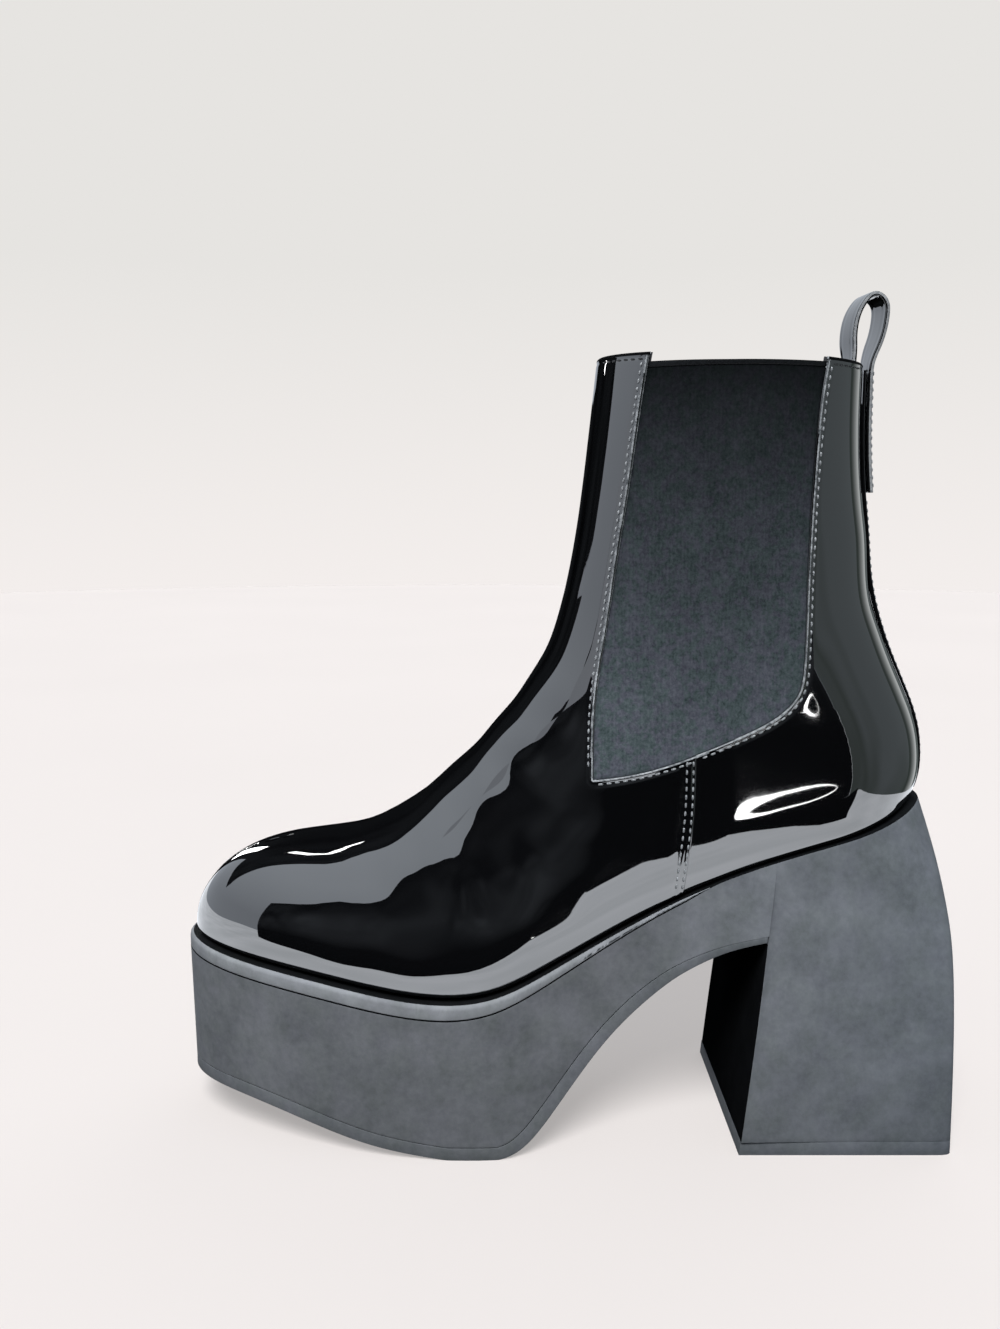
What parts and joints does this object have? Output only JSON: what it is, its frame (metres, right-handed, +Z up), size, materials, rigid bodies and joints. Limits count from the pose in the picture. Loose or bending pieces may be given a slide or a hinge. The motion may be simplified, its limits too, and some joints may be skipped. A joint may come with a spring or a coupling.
{
  "type": "platform chelsea boot",
  "caption": "Black patent leather platform Chelsea ankle boot for the left foot, with elastic side gores, a pull loop and a tall square block heel.",
  "frame": {"origin": "on the floor, under the middle of the boot's bounding box", "axes": "+Z up, toe towards -Y, heel towards +Y, outer side of the left foot towards +X"},
  "size_m": [0.0898, 0.253, 0.2773],
  "materials": {
    "patent_leather": "mirror-like patent gloss",
    "elastic_webbing": "matte fine weave",
    "moulded_rubber": "matte, finely mottled",
    "insole_lining": "matte textile"
  },
  "bodies": {
    "root": {"upper": "patent_leather", "elastic_gore_outer": "elastic_webbing", "elastic_gore_inner": "elastic_webbing", "back_strap": "patent_leather", "pull_loop": "patent_leather", "insole": "insole_lining", "welt": "moulded_rubber", "platform_heel": "moulded_rubber", "outsole": "moulded_rubber", "heel_tip": "moulded_rubber"}
  },
  "joints": []
}
